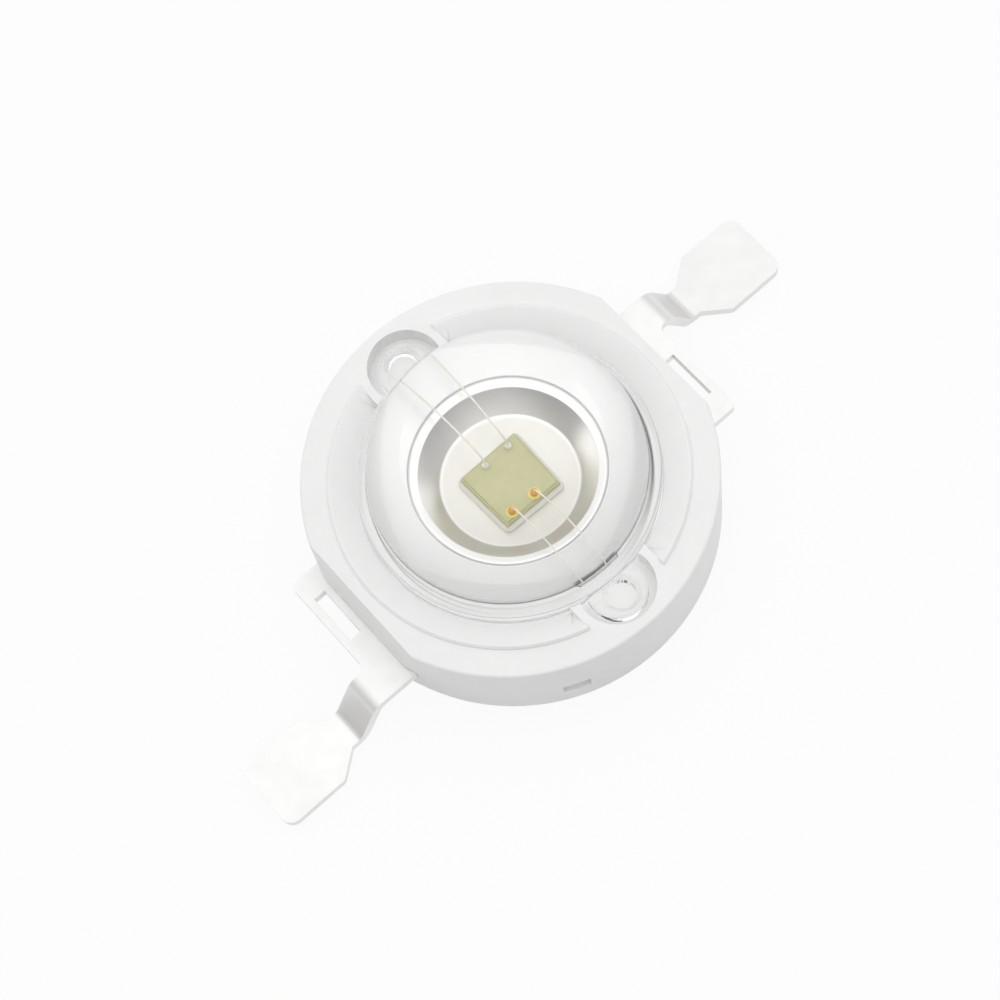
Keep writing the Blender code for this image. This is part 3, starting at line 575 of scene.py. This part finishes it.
def make_lens():
    """Clear lens with its silicone filling, as one clear piece that the chip is sunk in."""
    profile = arc((0.0, FLANGE_TOP), DOME_RADIUS, 90.0, 1.0, 56)
    profile[0] = (0.0, FLANGE_TOP + DOME_RADIUS)
    profile += rounded([
        (DOME_RADIUS, FLANGE_TOP - FOOT_GROOVE_DEPTH, 0.0), (DOME_RADIUS + FOOT_GROOVE_WIDTH, FLANGE_TOP, 0.01),
        (FLANGE_RADIUS, FLANGE_TOP, 0.05), (FLANGE_RADIUS, LENS_BOTTOM, 0.0)], closed=False)[1:]
    profile += [(0.0, LENS_BOTTOM)]
    lens = turned("lens_and_filling", profile, 192)
    for side in (1, -1):
        ear = arc((EAR_RADIUS - 0.07, EAR_TOP - 0.07), 0.07, 90.0, 0.0, 5)
        cut(lens, turned("ear", [(0.0, EAR_TOP)] + ear + [(EAR_RADIUS, LENS_BOTTOM), (0.0, LENS_BOTTOM)], 72,
                         at=(0.0, side * EAR_PLACE)), "UNION")
        cut(lens, turned("ear_hole", [(0.0, EAR_TOP + 0.02),
                                      (EAR_HOLE_RADIUS + EAR_HOLE_SINK + 0.02, EAR_TOP + 0.02),
                                      (EAR_HOLE_RADIUS, EAR_TOP - EAR_HOLE_SINK),
                                      (EAR_HOLE_RADIUS, LENS_BOTTOM - 0.1), (0.0, LENS_BOTTOM - 0.1)], 48,
                         at=(0.0, side * EAR_HOLE_PLACE)))
    return finish(lens, "clear_lens", clear_lens, ["lens", "silicone_filling"], crease=25.0)


def make_slug():
    """Plated slug with its reflector cup."""
    profile = rounded([
        (0.0, CUP_FLOOR, 0.0), (CUP_FLOOR_RADIUS, CUP_FLOOR, 0.06), (CUP_MOUTH_RADIUS, CUP_LIP_TOP, 0.03),
        (CUP_LIP_RADIUS, CUP_LIP_TOP, 0.04), (CUP_LIP_RADIUS, SLUG_TOP, 0.02), (SLUG_HEAD_RADIUS, SLUG_TOP, 0.03),
        (SLUG_HEAD_RADIUS, SLUG_FOOT_TOP, 0.03), (SLUG_FOOT_RADIUS, SLUG_FOOT_TOP, 0.04),
        (SLUG_FOOT_RADIUS, 0.0, 0.08), (0.0, 0.0, 0.0)], steps=4, closed=False)
    return finish(turned("slug", profile, 144), "plated_slug", silver_plate, ["heat_slug"])


def lead_outline(grow=0.0):
    """Seen from above: pad, neck, root, arm and post finger of the lead on the +X side."""
    neck_low, neck_high = NECK_CENTRE - NECK_WIDTH / 2, NECK_CENTRE + NECK_WIDTH / 2
    pad_low, pad_high = NECK_CENTRE - PAD_WIDTH / 2, NECK_CENTRE + PAD_WIDTH / 2
    pad_wide = PAD_START + PAD_CHAMFER
    head, tail = neck_high + grow, ROOT_TAIL + grow
    outer, inner, finger = ARM_OUTER + grow, ARM_INNER - grow, POST_WIDTH / 2 + grow
    outside = rounded([
        (math.sqrt(inner ** 2 - tail ** 2), -tail, 0.0), (ROOT_OUTER, -tail, 0.12), (ROOT_OUTER, neck_low, 0.16),
        (PAD_START, neck_low, 0.08), (pad_wide, pad_low, 0.14), (TIP_HALF, pad_low, 0.24),
        (TIP_HALF, pad_high, 0.24), (pad_wide, pad_high, 0.14), (PAD_START, neck_high, 0.08)])
    riser_side = RISER_MIDDLE + LEAD_THICKNESS / 2
    degrees = math.degrees
    return (outside
            + arc((0.0, 0.0), outer, degrees(math.asin(head / outer)), 90.0 + degrees(math.asin(finger / outer)),
                  24)
            + [(-finger, riser_side), (finger, riser_side)]
            + arc((0.0, 0.0), inner, 90.0 - degrees(math.asin(finger / inner)), -degrees(math.asin(tail / inner)),
                  28)[:-1])


def strip(path, thickness):
    """Outline of a strip of even thickness that follows a path."""
    left, right = [], []
    for i, point in enumerate(path):
        here = Vector(point)
        before = (here - Vector(path[i - 1])).normalized() if i else None
        after = (Vector(path[i + 1]) - here).normalized() if i < len(path) - 1 else None
        along = ((before or after) + (after or before)).normalized()
        side = Vector((-along.y, along.x)) * (thickness / 2 / along.dot(after or before))
        left.append(tuple(here + side))
        right.append(tuple(here - side))
    return left + right[::-1]


def post_section(grow=0.0, tip=POST_TIP):
    """Side view of the riser and the bond post."""
    path = rounded([(ARM_INNER, LEAD_MIDDLE, 0.0), (RISER_MIDDLE, LEAD_MIDDLE, 0.20),
                    (RISER_MIDDLE, POST_MIDDLE, 0.20), (tip - grow, POST_MIDDLE, 0.0)], closed=False)
    return strip(path, LEAD_THICKNESS + 2 * grow)


def make_lead(name, node_name, turn):
    """Stamped, bent and plated lead."""
    lead = prism(name, lead_outline(), -0.2, 2.0)
    path = [(-5.0, LEAD_MIDDLE)]
    path += arc((NECK_START, LEAD_MIDDLE - LEAD_BEND), LEAD_BEND, 90.0, 30.0, 10)
    path += arc((NECK_END, PAD_MIDDLE + LEAD_BEND), LEAD_BEND, -150.0, -90.0, 10)
    path += [(12.0, PAD_MIDDLE)]
    cut(lead, prism("strip", strip(path, LEAD_THICKNESS), -5.0, 5.0, "XZ"), "INTERSECT")
    cut(lead, block("window", (ROOT_OUTER - WINDOW_INNER, WINDOW_ENDS[0], 0.0),
                    (ROOT_OUTER - WINDOW_OUTER, WINDOW_ENDS[1], 2.0)))
    cut(lead, prism("post", post_section(), -POST_WIDTH / 2, POST_WIDTH / 2, "YZ"), "UNION")
    if turn:
        half_turned(lead)
    soften(lead, 0.022, angle=35.0)
    return finish(lead, name, silver_sheet, [node_name], crease=40.0)


def stack(name, half, levels):
    """Solid of rounded squares, the lowest first; each is (growth past half the side, corner radius, height)."""
    verts = []
    for growth, corner, height in levels:
        side = half + growth
        ring = rounded([(side, -side, corner), (side, side, corner), (-side, side, corner), (-side, -side, corner)],
                       steps=4)
        verts += [(x, y, height) for x, y in ring]
    count = len(ring)
    faces = [tuple(range(count))[::-1], tuple(range(len(verts) - count, len(verts)))]
    for start in range(0, len(verts) - count, count):
        for i in range(count):
            a, b = start + i, start + (i + 1) % count
            faces.append((a, b, b + count, a + count))
    mesh = bpy.data.meshes.new(name)
    mesh.from_pydata(verts, [], faces)
    mesh.shade_smooth()
    return facing_out(loose(name, mesh))


def make_chip():
    """Square chip: sawn base, a slightly smaller top layer, bond pads, and balls on the two near pads."""
    half, top = CHIP_SIDE / 2, CHIP_BOTTOM + CHIP_HEIGHT
    ledge = top - CHIP_LAYER
    chip = stack("chip", half, [
        (-0.008, 0.010, CHIP_BOTTOM), (0.0, 0.012, CHIP_BOTTOM + 0.008), (0.0, 0.012, ledge - 0.006),
        (-0.006, 0.012, ledge), (-0.020, 0.016, ledge + 0.002), (-0.024, 0.018, top - 0.010),
        (-0.030, 0.020, top - 0.004), (-0.036, 0.022, top - 0.003)])
    finish(chip, "chip", chip_surface, ["led_chip"], crease=30.0)
    spots = [(side * offset, side * (half - WIRE_INSET)) for side in (1, -1) for offset in WIRE_OFFSETS]
    for number, spot in enumerate(spots, 1):
        near = spot[1] < 0.0
        pad = turned("pad", [(radius, top + height) for radius, height in BOND_PAD], 24, at=spot)
        finish(pad, "bond_pad_%d" % number, pad_surface if near else chip_surface, ["led_chip"],
               crease=30.0)
        if near:
            ball = turned("ball", [(radius, top + height) for radius, height in BOND_BALL], 24, at=spot)
            finish(ball, "bond_ball_%d" % number, ball_surface, ["led_chip"], crease=60.0)


def make_die_bond():
    """Adhesive under the chip, squeezed out into a small fillet round its foot."""
    low = CUP_FLOOR + BOND_GAP
    bond = stack("bond", CHIP_SIDE / 2, [
        (0.036, 0.08, low), (0.040, 0.08, low + 0.005), (0.032, 0.07, low + 0.014), (0.018, 0.06, low + 0.026),
        (0.008, 0.04, CHIP_BOTTOM), (0.002, 0.03, CHIP_BOTTOM + 0.010), (-0.006, 0.02, CHIP_BOTTOM + 0.008),
        (-0.010, 0.02, CHIP_BOTTOM - 0.004)])
    return finish(bond, "adhesive_pad", bond_surface, ["die_bond"], crease=50.0)


make_housing()
make_lens()
make_slug()
make_lead("upper_lead", "anode_lead", False)
make_lead("lower_lead", "cathode_lead", True)
make_chip()
make_die_bond()
for number in range(1, 5):
    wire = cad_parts["bond_wire_%d" % number]
    wire.data.materials.clear()
    wire.data.materials.append(gold_surface)


# Floor, lights and camera


def make_floor():
    """Plain white floor that keeps a faint shadow."""
    mesh = bpy.data.meshes.new("floor")
    corners = ((-1, -1), (1, -1), (1, 1), (-1, 1))
    mesh.from_pydata([(x * FLOOR_HALF, y * FLOOR_HALF, 0.0) for x, y in corners], [], [(0, 1, 2, 3)])
    floor = bpy.data.objects.new("floor", mesh)
    floor.location.z = -0.00001
    scene.collection.objects.link(floor)
    material = bpy.data.materials.new("pale_floor")
    material.use_nodes = True
    tree = material.node_tree
    shader = tree.nodes["Principled BSDF"]
    shader.inputs["Base Color"].default_value = FLOOR_TONE
    shader.inputs["Roughness"].default_value = 0.9
    shader.inputs["Specular IOR Level"].default_value = 0.1
    white = node(tree, "ShaderNodeEmission", {"Color": (1.0, 1.0, 1.0, 1.0), "Strength": 1.0})
    path = node(tree, "ShaderNodeLightPath")
    mirrored = node(tree, "ShaderNodeMath", {0: path.outputs["Is Glossy Ray"],
                                             1: path.outputs["Is Transmission Ray"]},
                    operation="MAXIMUM")
    seen = node(tree, "ShaderNodeMath", {0: path.outputs["Is Camera Ray"], 1: mirrored.outputs[0]},
                operation="MAXIMUM")
    share = node(tree, "ShaderNodeMath", {0: seen.outputs[0], 1: FLOOR_WHITE_SHARE}, operation="MULTIPLY")
    mixed = node(tree, "ShaderNodeMixShader", {0: share.outputs[0], 1: shader.outputs[0], 2: white.outputs[0]})
    tree.links.new(mixed.outputs[0], tree.nodes["Material Output"].inputs["Surface"])
    mesh.materials.append(material)


def soft_window(tree, way, height, azimuth, half_width, top, brightness):
    """Light of one soft-edged window that stands on the horizon."""
    side_edge, top_edge = WINDOW_EDGES
    facing = (math.cos(math.radians(azimuth)), math.sin(math.radians(azimuth)), 0.0)
    turn = node(tree, "ShaderNodeVectorMath", {0: way, 1: facing}, operation="DOT_PRODUCT")
    across = node(tree, "ShaderNodeMapRange", {
        "Value": turn.outputs["Value"], "From Min": math.cos(math.radians(half_width + side_edge)),
        "From Max": math.cos(math.radians(half_width - side_edge))}, interpolation_type="SMOOTHSTEP")
    upward = node(tree, "ShaderNodeMapRange", {
        "Value": height, "From Min": math.sin(math.radians(top + top_edge)),
        "From Max": math.sin(math.radians(top - top_edge))}, interpolation_type="SMOOTHSTEP")
    both = node(tree, "ShaderNodeMath", {0: across.outputs[0], 1: upward.outputs[0]}, operation="MULTIPLY")
    return node(tree, "ShaderNodeMath", {0: both.outputs[0], 1: brightness}, operation="MULTIPLY").outputs[0]


def make_world():
    """Studio sky: a broad soft light overhead, quieter low down and on the near side, white behind."""
    world = bpy.data.worlds.new("studio")
    scene.world = world
    world.use_nodes = True
    tree = world.node_tree
    place = node(tree, "ShaderNodeTexCoord")
    parts = node(tree, "ShaderNodeSeparateXYZ", {0: place.outputs["Generated"]})
    above = node(tree, "ShaderNodeVectorMath", {0: place.outputs["Generated"], 1: OVERHEAD_WAY},
                 operation="DOT_PRODUCT")
    overhead = node(tree, "ShaderNodeMapRange", {"Value": above.outputs["Value"], "From Min": 0.38,
                                                 "From Max": 0.92},
                    interpolation_type="SMOOTHSTEP")
    side = node(tree, "ShaderNodeVectorMath", {0: place.outputs["Generated"], 1: LOW_LIGHT_WAY},
                operation="DOT_PRODUCT")
    low = node(tree, "ShaderNodeMapRange", {"Value": side.outputs["Value"], "From Min": -0.9, "From Max": 0.9,
                                            "To Min": LOW_LIGHT[0], "To Max": LOW_LIGHT[1]}).outputs[0]
    for window in WINDOWS:
        glow = soft_window(tree, place.outputs["Generated"], parts.outputs["Z"], *window)
        low = node(tree, "ShaderNodeMath", {0: low, 1: glow}, operation="ADD").outputs[0]
    light = node(tree, "ShaderNodeMix", {"Factor": overhead.outputs[0], 2: low, 3: OVERHEAD_LIGHT},
                 data_type="FLOAT")
    path = node(tree, "ShaderNodeLightPath")
    level = node(tree, "ShaderNodeMix", {"Factor": path.outputs["Is Camera Ray"], 2: light.outputs[0], 3: 1.0},
                 data_type="FLOAT")
    sky = tree.nodes["Background"]
    sky.inputs["Color"].default_value = (1.0, 1.0, 1.0, 1.0)
    tree.links.new(level.outputs[0], sky.inputs["Strength"])


def make_camera():
    """Camera at the photograph's place."""
    az, el, roll = CAMERA_AZIMUTH, CAMERA_ELEVATION, CAMERA_ROLL
    out = Vector((math.cos(el) * math.cos(az), math.cos(el) * math.sin(az), math.sin(el)))
    right = (-out).cross(Vector((0.0, 0.0, 1.0))).normalized()
    up = right.cross(-out)
    across = math.cos(roll) * right + math.sin(roll) * up
    upward = -math.sin(roll) * right + math.cos(roll) * up
    data = bpy.data.cameras.new("camera")
    data.sensor_width = 36.0
    data.lens = CAMERA_FOCAL_PIXELS / IMAGE_PIXELS * data.sensor_width
    data.clip_start = 0.002
    data.clip_end = 5.0
    camera = bpy.data.objects.new("camera", data)
    matrix = Matrix((across, upward, out)).transposed().to_4x4()
    matrix.translation = (CAMERA_AIM + out * CAMERA_DISTANCE) * MM
    camera.matrix_world = matrix
    scene.collection.objects.link(camera)
    scene.camera = camera


make_floor()
make_world()
make_camera()
